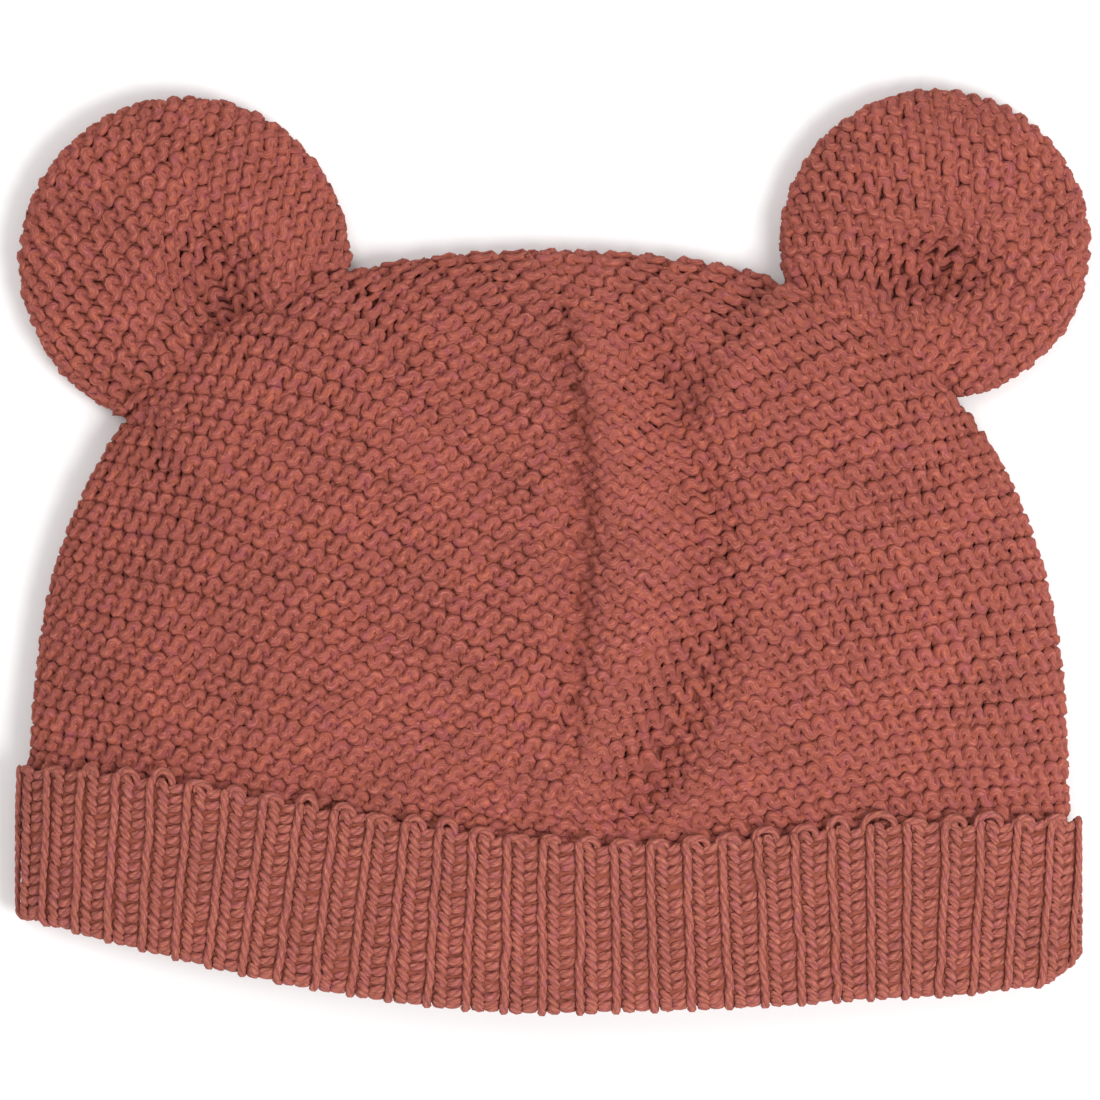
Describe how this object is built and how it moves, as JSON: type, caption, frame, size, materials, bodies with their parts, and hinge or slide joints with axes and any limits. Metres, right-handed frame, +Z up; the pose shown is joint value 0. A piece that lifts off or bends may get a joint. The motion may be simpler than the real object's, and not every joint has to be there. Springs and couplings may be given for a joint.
{
  "type": "baby hat with ears",
  "caption": "Knitted baby hat lying flat: a rounded garter-stitch crown with a ribbed turned-up cuff and two round ears.",
  "frame": {"origin": "on the surface that the hat lies on, under the middle of its back", "axes": "+X to the right seen from above, +Y from the hem to the crown's top, +Z up, away from the surface"},
  "size_m": [0.1813, 0.156, 0.03],
  "materials": {
    "garter_knit": "matt, heather cotton yarn in garter stitch",
    "rib_knit": "matt, heather cotton yarn in one-by-one rib"
  },
  "bodies": {
    "root": {"crown": "garter_knit", "brim": "rib_knit", "ear_left": "garter_knit", "ear_right": "garter_knit"}
  },
  "joints": []
}
